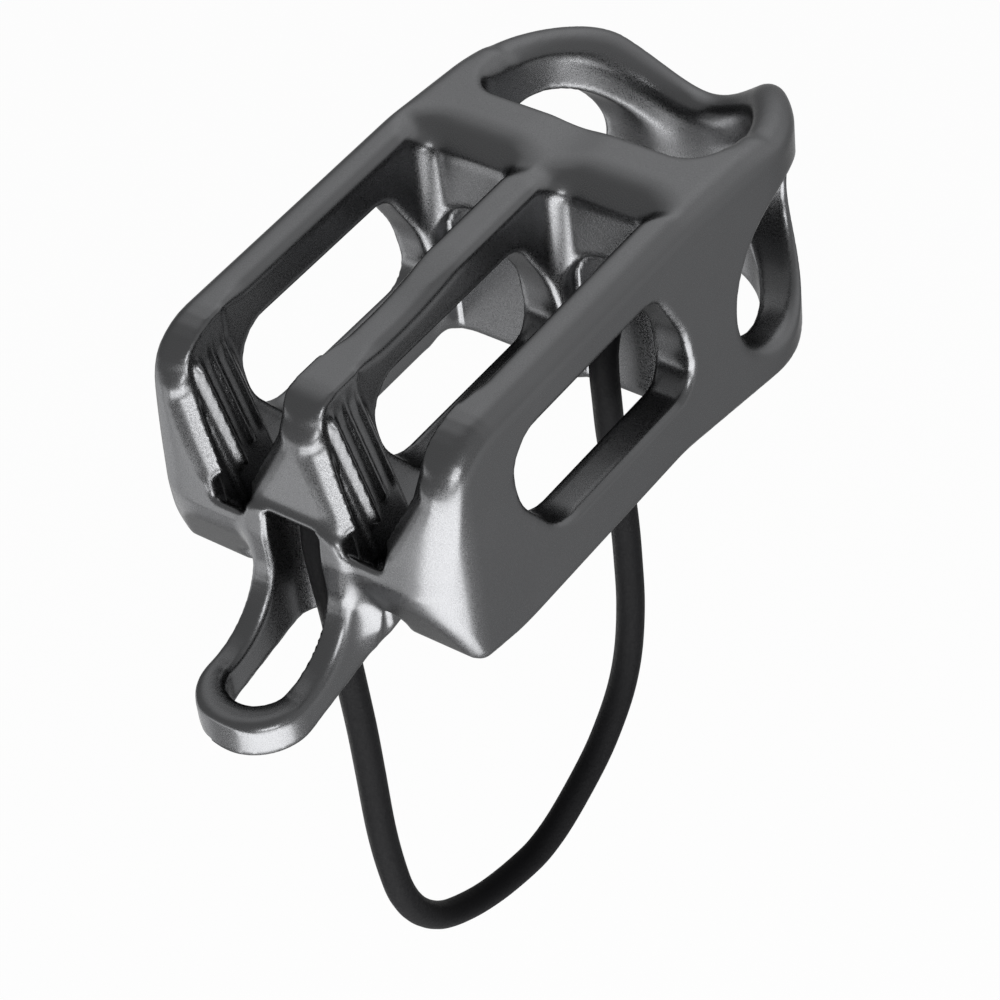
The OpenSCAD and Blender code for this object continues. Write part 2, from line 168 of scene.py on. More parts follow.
def join(a, b, r):
    """What lies in either form, with a fillet of radius r where they meet."""
    return -cut(-a, -b, r)


def rounded(corners):
    """An outline with arcs at its corners: each arc touches both of its corner's edges."""
    at = np.array([c[:2] for c in corners])
    out = []
    for i, (_, _, r) in enumerate(corners):
        here = at[i]
        if r == 0:
            out.append(here)
            continue
        a, b = unit(at[i - 1] - here), unit(at[(i + 1) % len(at)] - here)
        half = math.acos(float(a @ b)) / 2
        middle = here + unit(a + b) * r / math.sin(half)
        start = here + a * r / math.tan(half) - middle
        end = here + b * r / math.tan(half) - middle
        turn = math.pi - 2 * half
        for k in range(ARC_STEPS + 1):
            t = k / ARC_STEPS
            arm = start * math.sin(turn * (1 - t)) + end * math.sin(turn * t)
            out.append(middle + arm / math.sin(turn))
    return np.array(out)


def outline_distance(u, v, points):
    """Signed distance to a closed outline: the nearest edge's distance, below zero inside."""
    best = np.full(np.broadcast(u, v).shape, np.inf)
    inside = np.zeros(best.shape, bool)
    for p, q in zip(points, np.roll(points, -1, 0)):
        e = q - p
        length2 = float(e @ e)
        if length2 < TINY:
            continue
        t = np.clip(((u - p[0]) * e[0] + (v - p[1]) * e[1]) / length2, 0, 1)
        best = np.minimum(best, (u - p[0] - t * e[0]) ** 2 + (v - p[1] - t * e[1]) ** 2)
        crosses = (p[1] > v) != (q[1] > v)
        if abs(e[1]) > TINY:
            inside ^= crosses & (u < p[0] + (v - p[1]) * e[0] / e[1])
    return np.where(inside, -1.0, 1.0) * np.sqrt(best)


def block_distance(x, y, half_w, start, end, r):
    """Signed distance to a rectangle astride the line where x is 0, with corners of radius r."""
    dx = abs(x) - half_w + r
    dy = abs(y - (start + end) / 2) - (end - start) / 2 + r
    return np.hypot(np.maximum(dx, 0), np.maximum(dy, 0)) + np.minimum(np.maximum(dx, dy), 0) - r


SIDE_POINTS = rounded(SIDE_OUTLINE)
WINDOW_POINTS = rounded(WINDOW_OUTLINE)

# The release tongue: half its width, its tip, its top, where its level underside ends, its
# two ends inside the forging and the radius of its edges
TONGUE_HALF_W = 6.2
TONGUE_TIP_Y = -76.2
TONGUE_TOP_Z = -10.0
TONGUE_KEEL_Y = -70.0
TONGUE_PLAN_END_Y = GROOVE_BACK_Y - 2
TONGUE_SIDE_END_Y = GROOVE_BACK_Y + 2
TONGUE_EDGE_R = 1.1
# The fillet where the tongue leaves the forging: height and radius, at its top and its foot
TONGUE_FILLET = ((-4.0, 1.8), (-9.0, 4.4))
# The round hollow that climbs from the tongue's top to the web between the two grooves
HOLLOW_R = 8.5
HOLLOW_TOP_Y = FRONT_Y + 0.3
HOLLOW_POINTS = 12
WEB_FRONT_Y = FRONT_Y + 0.6
WEB_Z = 4.4
# The round ended hole through the tongue and its edges' radius, and how much less than half
# the width a round end's radius is
HOLE_HALF_W = 3.3
HOLE_BACK_Y = -56.2
HOLE_TIP_Y = -72.8
HOLE_EDGE_R = 0.6
HAIR = 0.01


def tongue_side_points():
    """The tongue from the side: flat on top, then a quarter round hollow up to the web."""
    turn = np.linspace(0, math.pi / 2, HOLLOW_POINTS)
    hollow_y = HOLLOW_TOP_Y + HOLLOW_R * (np.sin(turn) - 1)
    hollow_z = TONGUE_TOP_Z + HOLLOW_R * (1 - np.cos(turn))
    return np.vstack([
        [(TONGUE_TIP_Y, SOLE_Z), (TONGUE_TIP_Y, TONGUE_TOP_Z)],
        np.stack([hollow_y, hollow_z], 1),
        [(WEB_FRONT_Y, WEB_Z), (GROOVE_BACK_Y, WEB_Z)],
        [(TONGUE_SIDE_END_Y, WAIST_Z), (TONGUE_KEEL_Y, SOLE_Z)],
    ])


TONGUE_POINTS = tongue_side_points()


def tongue_distance(x, y, z):
    """The tongue: its side outline carried across, cut to a round ended plan."""
    side = outline_distance(y, z, TONGUE_POINTS)
    round_end = TONGUE_HALF_W - HAIR
    plan = block_distance(x, y, TONGUE_HALF_W, TONGUE_TIP_Y, TONGUE_PLAN_END_Y, round_end)
    return cut(side, plan, TONGUE_EDGE_R)


def hole_distance(x, y, z):
    """The round ended hole through the tongue, closed above by the web."""
    plan = block_distance(x, y, HOLE_HALF_W, HOLE_TIP_Y, HOLE_BACK_Y, HOLE_HALF_W - HAIR)
    return cut(plan, z - WEB_Z, HOLE_EDGE_R)


# A groove's flanks: height and half the width at the foot, and where they are as far apart
# as the slot's walls
GROOVE_FOOT = (-0.5, 1.0)
GROOVE_TOP = (14.5, SLOT_W / 2)
# Behind the groove the flanks end: the places where they start to open and are fully open,
# how far past the slot's walls they open, and the radius where flank and wall meet
GROOVE_END_FADE = (GROOVE_BACK_Y - 0.7, GROOVE_BACK_Y + 2.5)
GROOVE_END_OPEN = 3.0
GROOVE_CORNER_R = 0.6

# The narrow ribs on a groove's flank: the middle's place, half the width, how far each
# stands out and the heights of its top and foot
FINE_RIBS = (
    (-55.9, 0.95, 0.95, 15.6, 2.6),
    (-53.6, 0.6, 0.32, 16.2, 3.6),
    (-51.7, 0.6, 0.28, 16.6, 4.4),
)
# How long a narrow rib takes to fade in below its top and above its foot
RIB_TOP_FADE = 1.6
RIB_FOOT_FADE = 0.8

# The broad band at a groove's mouth: how far it reaches back from the front face, then the
# height and half the groove's width at two points of its crest
BAND_RUN = 1.9
BAND_LOW = (4.0, 1.4)
BAND_HIGH = (13.0, 5.7)
# Heights between which the band sinks into the flank, at its top and at its foot
BAND_TOP_FADE = (11.7, 14.1)
BAND_FOOT_FADE = (4.9, 3.7)
# Behind its crest the band drops to the flank over this length
BAND_DROP = 0.75
# The shallow valley behind the band: its depth, how far behind the front face it starts and
# is full, and the places along the forging where it starts and is full
VALLEY_DEPTH = 0.4
VALLEY_FADE = (BAND_RUN + 0.2, BAND_RUN + 0.9)
VALLEY_FADE_Y = (-56.9, -57.7)

# The apron below the grooves: its lip at the front face, its back edge, the radius of its
# edges and of the fillet between them, and its own value for what SLANT is
LIP_Y = FRONT_Y + 0.5
LIP_Z = 3.2
APRON_BACK_Y = -58.5
APRON_EDGE_R = 0.4
APRON_JOIN_R = 0.2
APRON_SLANT = 0.7

# The slots' corners in plan, and how the slot spreads at its mouth: place and the share that
# distances across it keep
SLOT_CORNER_R = 2.6
SLOT_FUNNEL = ((-57.0, 1.0), (-59.0, 0.65))
# Radius of the slots' edges along a groove, and what the mouth adds to it: the places where
# that starts and is full, its amount, and the heights and amounts of more at the mouth's top
SLOT_EDGE_R = 0.55
MOUTH_FADE_Y = (-56.0, -59.0)
MOUTH_EDGE = 0.35
MOUTH_TOP_EDGE = ((12.0, 0.0), (15.0, 1.6))
# What is added behind the grooves and at the back wall: place and amount
SLOT_BODY_EDGE = ((GROOVE_BACK_Y, 0.0), (GROOVE_BACK_Y + 4, 1.0))
SLOT_END_EDGE = ((SLOT_BACK_Y - 3, 0.0), (SLOT_BACK_Y + 1, 3.2))


def groove_half_width(z):
    """Half the width of a groove at a height: narrow at its foot, the slot's width above."""
    return np.interp(z, (GROOVE_FOOT[0], GROOVE_TOP[0]), (GROOVE_FOOT[1], GROOVE_TOP[1]))


def rib_relief(y, z):
    """How far the narrow ribs stand out from a groove's flank: low humps with faded ends."""
    out = 0.0
    for middle, half, high, top, foot in FINE_RIBS:
        hump = fade(abs(y - middle), half, 0.0)
        ends = fade(z, top, top - RIB_TOP_FADE) * fade(z, foot, foot + RIB_FOOT_FADE)
        out = out + high * hump * ends
    return out


def with_band(y, z, flank):
    """The groove's half width with the broad band that stands out from its flank at the mouth.

    The band is a slope from the front face in to a crest, at 45 degrees, and drops behind
    it into a shallow valley. The crest runs straight from a narrow foot outward and up.
    """
    lean = (CROWN_Y - FRONT_Y) / (CROWN_Z - CHIN_Z)
    back = y - FRONT_Y - lean * (z - CHIN_Z)
    opening = (BAND_HIGH[1] - BAND_LOW[1]) / (BAND_HIGH[0] - BAND_LOW[0])
    crest = BAND_LOW[1] + opening * (z - BAND_LOW[0])
    over = fade(z, *BAND_TOP_FADE)
    under = fade(z, *BAND_FOOT_FADE)
    crest = crest + (flank - crest) * np.maximum(over, under)
    band = crest + np.maximum(BAND_RUN - back, 0) * (1 - over) * (1 - under)
    valley = flank + VALLEY_DEPTH * fade(back, *VALLEY_FADE) * fade(y, *VALLEY_FADE_Y)
    return valley + (band - valley) * fade(back, BAND_RUN + BAND_DROP, BAND_RUN)


def slot_distance(dx, y, z):
    """A rope slot and the narrowing groove in front of it, measured from the slot's middle.

    The apron is a floor that slopes down from its lip at the front face, and behind it the
    groove is open below.
    """
    across = dx * ramp(y, *SLOT_FUNNEL)
    slot = block_distance(across, y, SLOT_W / 2, BEFORE_Y, SLOT_BACK_Y, SLOT_CORNER_R)
    flank = with_band(y, z, groove_half_width(z) - rib_relief(y, z))
    flank = flank + (SLOT_W / 2 + GROOVE_END_OPEN - flank) * fade(y, *GROOVE_END_FADE)
    groove = cut(slot, (abs(dx) - flank) * SLANT, GROOVE_CORNER_R)
    floor = np.interp(y, (LIP_Y, APRON_BACK_Y), (LIP_Z, GROOVE_FOOT[0]))
    above_apron = cut(groove, (floor - z) * APRON_SLANT, APRON_EDGE_R)
    behind_apron = cut(groove, APRON_BACK_Y - y, APRON_EDGE_R)
    return join(above_apron, behind_apron, APRON_JOIN_R)


def slot_edge_radius(y, z):
    """The radius of the slots' edges, which grows at the mouth and towards the back wall."""
    mouth = fade(y, *MOUTH_FADE_Y) * (MOUTH_EDGE + ramp(z, *MOUTH_TOP_EDGE))
    return SLOT_EDGE_R + mouth + ramp(y, *SLOT_BODY_EDGE) + ramp(y, *SLOT_END_EDGE)


# The arched recess in the slots' back wall: its centre's height, its radius, how deep it
# goes and how far in front of the wall its cut starts
ARCH_Z = 3.4
ARCH_R = 5.4
ARCH_DEPTH = 1.6
ARCH_LEAD = 3.0

# The rim's saddle: distance from the middle and height, in its middle and at its lobes, then
# the place and the climb that keep it clear of the cross wall
SADDLE = ((0.0, 6.8), (17.2, 17.8))
SADDLE_FRONT = ((POCKET_Y + 9, 0.0), (POCKET_Y, 12.0))

# The middle wall's crest: place and height where it rises from and to, how far its cut
# reaches to each side before it climbs away, and how steeply it climbs
MIDDLE_CREST = ((-44.0, 17.1), (-14.0, 21.1))
MIDDLE_REACH = 5.5
MIDDLE_CLIMB = 3.0

# Corners in plan, at the front and in the pocket
FRONT_CORNER_R = 6.0
POCKET_CORNER_R = 3.5
# Radii of the edges. Those that vary are pairs of height, place or distance out, and radius
OUTER_EDGE = ((-4.0, 1.1), (4.0, 2.3))
RIM_EDGE_R = 2.2
MIDDLE_EDGE_R = 0.6
ARCH_EDGE_R = 0.6
POCKET_EDGE = ((POCKET_Y + 1, 0.8), (POCKET_Y + 6, 2.0))
WINDOW_EDGE_R = 0.7
EYE_EDGE = ((15.2, 0.5), (17.6, 1.4))


def arch_distance(dx, y, z):
    """The arched recess at the foot of a slot's back wall: a round top on straight sides."""
    shape = np.minimum(np.hypot(dx, z - ARCH_Z) - ARCH_R, np.maximum(abs(dx) - ARCH_R, z - ARCH_Z))
    return np.maximum(shape, np.maximum(y - SLOT_BACK_Y - ARCH_DEPTH, SLOT_BACK_Y - ARCH_LEAD - y))


def saddle_height(x, y):
    """The rim's height over the nose: low in the middle, rising evenly to two lobes."""
    return ramp(abs(x), *SADDLE) + ramp(y, *SADDLE_FRONT)


def middle_height(x, y):
    """The height of the middle wall's crest, climbing clear of the walls on both sides."""
    return ramp(y, *MIDDLE_CREST) + MIDDLE_CLIMB * np.maximum(abs(x) - MIDDLE_REACH, 0)


def body_distance(x, y, z):
    """Signed distance to the forging, in millimetres, for arrays that broadcast together.

    The side outline is cut to the plan and the rim to its saddle, the tongue is joined on,
    and the middle wall is cut to its crest. The slots, arches, pocket, windows, eye and hole
    are then cut away in turn.
    """
    out = np.where(y > NOSE_Y, np.hypot(x, y - NOSE_Y), abs(x))
    side = outline_distance(y, z, SIDE_POINTS)
    plan = block_distance(x, y, HALF_W, FRONT_Y, BEYOND_Y, FRONT_CORNER_R)
    form = cut(side, np.maximum(plan, out - HALF_W), ramp(z, *OUTER_EDGE))
    form = cut(form, (z - saddle_height(x, y)) * SLANT, RIM_EDGE_R)
    form = join(form, tongue_distance(x, y, z), ramp(z, *TONGUE_FILLET))
    form = cut(form, z - middle_height(x, y), MIDDLE_EDGE_R)
    dx = abs(x) - SLOT_X
    form = cut(form, -slot_distance(dx, y, z), slot_edge_radius(y, z))
    form = cut(form, -arch_distance(dx, y, z), ARCH_EDGE_R)
    pocket = block_distance(x, y, NOSE_IN_R, POCKET_Y, BEYOND_Y, POCKET_CORNER_R)
    form = cut(form, -np.maximum(pocket, out - NOSE_IN_R), ramp(y, *POCKET_EDGE))
    form = cut(form, -outline_distance(y, z, WINDOW_POINTS), WINDOW_EDGE_R)
    form = cut(form, EYE_R - np.hypot(y, z), ramp(out, *EYE_EDGE))
    return cut(form, -hole_distance(x, y, z), HOLE_EDGE_R)


FINE_SHARE = 0.55
FINE_MARGIN = 0.5
# How the skin's points settle on the surface: the rounds, the share of a cell that a point
# may move in one, the length that the slope is measured over and the least slope squared
SETTLE_ROUNDS = 3
SETTLE_REACH = 0.4
SLOPE_SPAN = 0.02
LEAST_SLOPE2 = 0.2
CELL_CORNERS = np.array([(i, j, k) for i in (0, 1) for j in (0, 1) for k in (0, 1)])


def grid_lines(low, high, step):
    """Grid lines that cover a span with two steps to spare at each end."""
    return np.arange(low - 2 * step, high + 2.5 * step, step)


def closer_over_grooves(lines, step):
    """Grid lines along the forging with closer ones over the grooves in place of their own."""
    start, end = FRONT_Y - FINE_MARGIN, GROOVE_BACK_Y + FINE_MARGIN
    apart = (lines < start - step / 2) | (lines > end + step / 2)
    return np.sort(np.concatenate([lines[apart], np.arange(start, end, step * FINE_SHARE)]))


def crossed_cells(inside):
    """The grid cells with corners both inside and outside, as rows of three numbers."""
    n = inside.shape
    count = np.zeros([m - 1 for m in n], np.int8)
    for i, j, k in CELL_CORNERS:
        count += inside[i:n[0] - 1 + i, j:n[1] - 1 + j, k:n[2] - 1 + k]
    return np.argwhere((count > 0) & (count < len(CELL_CORNERS)))


def mean_crossings(field, cells):
    """For each cell the mean of the places where its edges cross the surface, from 0 to 1."""
    value = np.stack([field[tuple((cells + c).T)] for c in CELL_CORNERS], 1)
    total, hits = np.zeros((len(cells), 3)), np.zeros(len(cells))
    for a, here in enumerate(CELL_CORNERS):
        for b, there in enumerate(CELL_CORNERS[:a]):
            if np.abs(here - there).sum() != 1:
                continue
            va, vb = value[:, b], value[:, a]
            crossed = (va < 0) != (vb < 0)
            t = np.where(crossed, va / np.where(crossed, va - vb, 1), 0)
            total += crossed[:, None] * (there + t[:, None] * (here - there))
            hits += crossed
    return total / hits[:, None]


def crossed_edge_quads(inside, number):
    """One quad for each grid edge that crosses the surface, facing out, through four cells."""
    n = inside.shape
    quads = []
    for k in range(3):
        u, v = (k + 1) % 3, (k + 2) % 3
        low = [slice(1, m - 1) for m in n]
        high = [slice(1, m - 1) for m in n]
        low[k], high[k] = slice(0, n[k] - 1), slice(1, n[k])
        first, second = inside[tuple(low)], inside[tuple(high)]
        at = np.argwhere(first != second)
        leaving = first[tuple(at.T)]
        at[:, [u, v]] += 1
        du, dv = np.eye(3, dtype=int)[[u, v]]
        quad = np.stack([number[tuple((at - o).T)] for o in (du + dv, dv, 0 * du, du)], 1)
        quads.append(np.where(leaving[:, None], quad, quad[:, ::-1]))
    return np.vstack(quads)


def settled(distance, points, reach):
    """The points moved onto the surface: down the slope by the distance over the slope."""
    for _ in range(SETTLE_ROUNDS):
        value = distance(*points.T)
        ahead = [distance(*(points + SLOPE_SPAN * axis).T) for axis in np.eye(3)]
        slope = (np.stack(ahead, 1) - value[:, None]) / SLOPE_SPAN
        steep = np.maximum((slope ** 2).sum(1), LEAST_SLOPE2)
        points = points + np.clip(-value[:, None] * slope / steep[:, None], -reach, reach)
    return points


def skin(distance, axes):
    """A closed quad skin over a distance formula, sampled on three lists of grid lines.

    It has one vertex in each grid cell that the surface crosses, at the mean of the crossings
    on the cell's edges, then settled on the surface. It has one quad for each crossed edge.
    """
    x, y, z = axes
    field = distance(x[:, None, None], y[None, :, None], z[None, None, :]).astype(np.float32)
    inside = field < 0
    cells = crossed_cells(inside)
    low = np.stack([axis[i] for axis, i in zip(axes, cells.T)], 1)
    size = np.stack([axis[i + 1] for axis, i in zip(axes, cells.T)], 1) - low
    number = np.full([m - 1 for m in field.shape], -1, np.int64)
    number[tuple(cells.T)] = np.arange(len(cells))
    points = low + mean_crossings(field, cells) * size
    return settled(distance, points, SETTLE_REACH * size), crossed_edge_quads(inside, number)


def mesh_object(name, points, faces, smooth=True):
    """A new object at the origin, from points in millimetres and faces of one kind."""
    mesh = bpy.data.meshes.new(name)
    sides = faces.shape[1]
    mesh.vertices.add(len(points))
    mesh.vertices.foreach_set("co", (np.asarray(points) * MM).astype(np.float32).ravel())
    mesh.loops.add(faces.size)
    mesh.loops.foreach_set("vertex_index", faces.astype(np.int32).ravel())
    mesh.polygons.add(len(faces))
    mesh.polygons.foreach_set("loop_start", np.arange(0, faces.size, sides, dtype=np.int32))
    mesh.polygons.foreach_set("use_smooth", np.full(len(faces), smooth))
    mesh.update(calc_edges=True)
    mesh.validate()
    obj = bpy.data.objects.new(name, mesh)
    bpy.context.scene.collection.objects.link(obj)
    return obj


def dress(obj, material):
    """Gives an object this one material."""
    obj.data.materials.clear()
    obj.data.materials.append(material)


# The cable's middle line in millimetres, from the front hole down, round the loop
# and up to the rear hole
FRONT_ROUTE = [
    (0.5, -57.3, 6.7), (0.5, -58.0, 4.2), (0.6, -58.7, 0.0), (0.7, -58.6, -5.0), (0.8, -58.3, -10.0),
    (0.9, -58.1, -15.6)]
LOOP_ROUTE = [
    (0.9, -57.8, -21.5), (1.0, -57.6, -28.0), (1.0, -57.5, -34.5), (1.1, -57.5, -43.5),
    (1.2, -57.0, -50.5), (1.3, -56.1, -55.8), (1.5, -54.2, -60.4), (1.9, -51.2, -64.0),
    (2.6, -47.5, -65.8), (3.5, -43.6, -66.4), (4.5, -39.2, -66.1), (5.2, -36.2, -65.2),
    (6.0, -32.7, -62.8), (7.0, -27.8, -58.2), (7.6, -24.9, -54.4), (8.1, -22.5, -50.0),
    (8.4, -20.9, -45.0), (8.6, -20.0, -38.5), (8.6, -19.7, -32.0), (8.6, -19.7, -26.0),
    (8.5, -20.0, -19.0)]
REAR_ROUTE = [
    (8.4, -20.4, -12.6), (8.4, -20.5, -8.0), (8.3, -20.4, -4.5), (8.2, -20.0, -1.6), (8.1, -19.0, 0.7),
    (8.05, -17.6, 2.6), (8.05, -16.1, 4.1), (8.05, -14.6, 5.6)]
CABLE_D = 3.2
# Rings between two points of the route, and the points round a ring
CABLE_STEPS = 8
CABLE_SIDES = 24


def smooth_route(route, steps):
    """A smooth curve through the route's points, each stretch a cubic with shared slopes."""
    p = np.array(route, float)
    p = np.vstack([2 * p[0] - p[1], p, 2 * p[-1] - p[-2]])
    t = np.linspace(0, 1, steps, endpoint=False)[:, None]
    out = []
    for a, b, c, d in zip(p[:-3], p[1:-2], p[2:-1], p[3:]):
        square = (2 * a - 5 * b + 4 * c - d) * t ** 2
        cube = (3 * b - a - 3 * c + d) * t ** 3
        out.append(0.5 * (2 * b + (c - a) * t + square + cube))
    return np.vstack(out + [p[-2:-1]])


def tube(path, d, sides):
    """A round tube with closed ends: rings square to the path, each a circle of angles.

    It gives the points, the quads of the wall and the triangles of the two ends.
    """
    ahead = np.gradient(path, axis=0)
    ahead /= np.linalg.norm(ahead, axis=1)[:, None]
    u = np.array([1.0, 0, 0]) - ahead[:, :1] * ahead
    u /= np.linalg.norm(u, axis=1)[:, None]
    v = np.cross(ahead, u)
    turn = np.linspace(0, 2 * math.pi, sides, endpoint=False)[None, :, None]
    ring = path[:, None] + d / 2 * (np.cos(turn) * u[:, None] + np.sin(turn) * v[:, None])
    points = np.vstack([ring.reshape(-1, 3), path[:1], path[-1:]])
    i, k = np.meshgrid(np.arange(len(path) - 1), np.arange(sides), indexing="ij")
    a, b = i * sides + k, i * sides + (k + 1) % sides
    walls = np.stack([a, b, b + sides, a + sides], -1).reshape(-1, 4)
    here, after = a[0], b[0]
    middle = len(path) * sides
    last = middle - sides
    start = np.stack([after, here, np.full(sides, middle)], 1)
    end = np.stack([here + last, after + last, np.full(sides, middle + 1)], 1)
    return points, walls, np.vstack([start, end])


def principled(name, colour, metallic, roughness):
    """A new material and its main shader, with the plain values set on its own sockets."""
    material = bpy.data.materials.new(name)
    material.use_nodes = True
    shader = next(n for n in material.node_tree.nodes if n.type == "BSDF_PRINCIPLED")
    shader.inputs["Base Color"].default_value = (*colour, 1)
    shader.inputs["Metallic"].default_value = metallic
    shader.inputs["Roughness"].default_value = roughness
    return material, shader


def noise(tree, scale, detail, rough=0.5):
    """A noise texture on the object's own coordinates, its scale in cells to a metre."""
    coords = tree.nodes.new("ShaderNodeTexCoord")
    texture = tree.nodes.new("ShaderNodeTexNoise")
    texture.inputs["Scale"].default_value = scale
    texture.inputs["Detail"].default_value = detail
    texture.inputs["Roughness"].default_value = rough
    tree.links.new(coords.outputs["Object"], texture.inputs["Vector"])
    return texture.outputs["Fac"]


def spread(tree, value, low, high, from_low=0.3, from_high=0.7):
    """Maps a value onto a range and stops at its ends: a noise lies mostly from 0.3 to 0.7."""
    node = tree.nodes.new("ShaderNodeMapRange")
    node.inputs["From Min"].default_value = from_low
    node.inputs["From Max"].default_value = from_high
    node.inputs["To Min"].default_value = low
    node.inputs["To Max"].default_value = high
    tree.links.new(value, node.inputs["Value"])
    return node.outputs["Result"]


def combined(tree, operation, first, second):
    """A math node on two values, the second of which may be a plain number."""
    node = tree.nodes.new("ShaderNodeMath")
    node.operation = operation
    tree.links.new(first, node.inputs[0])
    if isinstance(second, float):
        node.inputs[1].default_value = second
    else:
        tree.links.new(second, node.inputs[1])
    return node.outputs[0]


def tinted(tree, value, dark, light):
    """A colour between two, by a value from 0 to 1."""
    blend = tree.nodes.new("ShaderNodeValToRGB")
    blend.color_ramp.elements[0].color = (*dark, 1)
    blend.color_ramp.elements[1].color = (*light, 1)
    tree.links.new(value, blend.inputs["Fac"])
    return blend.outputs["Color"]


def bumped(tree, shader, layers):
    """Stacks bump layers, each a height, a strength and a depth in millimetres."""
    normal = None
    for height, strength, depth in layers:
        bump = tree.nodes.new("ShaderNodeBump")
        bump.inputs["Strength"].default_value = strength
        bump.inputs["Distance"].default_value = depth * MM
        tree.links.new(height, bump.inputs["Height"])
        if normal is not None:
            tree.links.new(normal, bump.inputs["Normal"])
        normal = bump.outputs["Normal"]
    tree.links.new(normal, shader.inputs["Normal"])


# The anodised finish: the tint of a grazing reflection, the shares of its colour that the
# tone drifts between, and the least and most roughness of its grain
METAL_GRAZE = (0.45, 0.45, 0.45)
METAL_TONES = (0.93, 1.07)
METAL_ROUGHNESS = (0.18, 0.44)
# The sheath: how little it reflects, and the least and most roughness of its pits
SHEATH_IOR = 1.22
SHEATH_GLOSS = 0.1
SHEATH_ROUGHNESS = (0.42, 0.62)
# How far the grain of a bare metal takes its roughness down and up
BARE_ROUGHNESS = (-0.06, 0.08)
# The relief of each grain: a strength, and a depth in millimetres
BLAST_RELIEF = (0.13, 0.03)
METAL_WAVE_RELIEF = (0.12, 0.05)
PIT_RELIEF = (0.6, 0.1)
SHEATH_WAVE_RELIEF = (0.2, 0.2)
WORKED_RELIEF = (0.2, 0.04)


def anodised_metal(colour):
    """Dark satin anodised aluminium: a bead-blast grain and a slow drift of tone."""
    material, shader = principled("anodised_aluminium", colour, metallic=1.0, roughness=0.3)
    shader.inputs["Specular Tint"].default_value = (*METAL_GRAZE, 1)
    tree = material.node_tree
    drift = noise(tree, scale=90, detail=3)
    dark, light = ([c * tone for c in colour] for tone in METAL_TONES)
    tree.links.new(tinted(tree, drift, dark, light), shader.inputs["Base Color"])
    grain = noise(tree, scale=9000, detail=2, rough=0.6)
    tree.links.new(spread(tree, grain, *METAL_ROUGHNESS), shader.inputs["Roughness"])
    blast = noise(tree, scale=7500, detail=2, rough=0.6)
    waves = noise(tree, scale=700, detail=3)
    bumped(tree, shader, [(blast, *BLAST_RELIEF), (waves, *METAL_WAVE_RELIEF)])
    return material


def sheath_plastic(colour):
    """Matt black extruded plastic: fine pits over slow, shallow waves."""
    material, shader = principled("cable_sheath", colour, metallic=0.0, roughness=0.5)
    shader.inputs["IOR"].default_value = SHEATH_IOR
    shader.inputs["Specular IOR Level"].default_value = SHEATH_GLOSS
    tree = material.node_tree
    pits = noise(tree, scale=2600, detail=4, rough=0.65)
    tree.links.new(spread(tree, pits, *SHEATH_ROUGHNESS), shader.inputs["Roughness"])
    waves = noise(tree, scale=600, detail=2)
    bumped(tree, shader, [(pits, *PIT_RELIEF), (waves, *SHEATH_WAVE_RELIEF)])
    return material


def bare_metal(name, colour, roughness, scale):
    """Plain metal with a fine worked grain."""
    material, shader = principled(name, colour, metallic=1.0, roughness=roughness)
    tree = material.node_tree
    grain = noise(tree, scale, detail=4)
    low, high = (roughness + step for step in BARE_ROUGHNESS)
    tree.links.new(spread(tree, grain, low, high), shader.inputs["Roughness"])
    bumped(tree, shader, [(grain, *WORKED_RELIEF)])
    return material


class BelaySizes(bpy.types.PropertyGroup):
    """Sizes that a user would change."""

    skin_step: FloatProperty(
        name="Skin step", description="Distance between the grid lines of the forging's skin",
        default=0.0005, min=0.00035, max=0.0015, precision=5, unit="LENGTH")
    floor_drop: FloatProperty(
        name="Floor drop", description="How far the floor lies below the loop",
        default=0.6, min=0.02, max=1.0, unit="LENGTH")


class BelayColours(bpy.types.PropertyGroup):
    """Colours that a user would change."""

    metal: FloatVectorProperty(
        name="Metal", description="Colour of the anodised forging", subtype="COLOR",
        size=3, min=0, max=1, default=(0.108, 0.109, 0.112))
    sheath: FloatVectorProperty(
        name="Sheath", description="Colour of the cable's sheath", subtype="COLOR",
        size=3, min=0, max=1, default=(0.004, 0.004, 0.0044))
    wire: FloatVectorProperty(
        name="Wire", description="Colour of the cable's wire core", subtype="COLOR",
        size=3, min=0, max=1, default=(0.5, 0.5, 0.51))
    sleeve: FloatVectorProperty(
        name="Sleeve", description="Colour of the cable's end sleeves", subtype="COLOR",
        size=3, min=0, max=1, default=(0.62, 0.62, 0.63))


class BELAY_OT_forging(bpy.types.Operator):
    """Builds the forged body as one smooth skin"""

    bl_idname = "belay.forging"
    bl_label = "Forged Body"

    def execute(self, context):
        sizes, colours = context.scene.belay_sizes, context.scene.belay_colours
        step = round(sizes.skin_step / MM, 3)
        axes = [grid_lines(low, high, step) for low, high in zip(BODY_LOW, BODY_HIGH)]
        axes[1] = closer_over_grooves(axes[1], step)
        points, quads = skin(body_distance, axes)
        obj = mesh_object("forged_body", points, quads)
        dress(obj, anodised_metal(tuple(colours.metal)))
        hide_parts("body")
        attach(obj, "device")
        return {"FINISHED"}


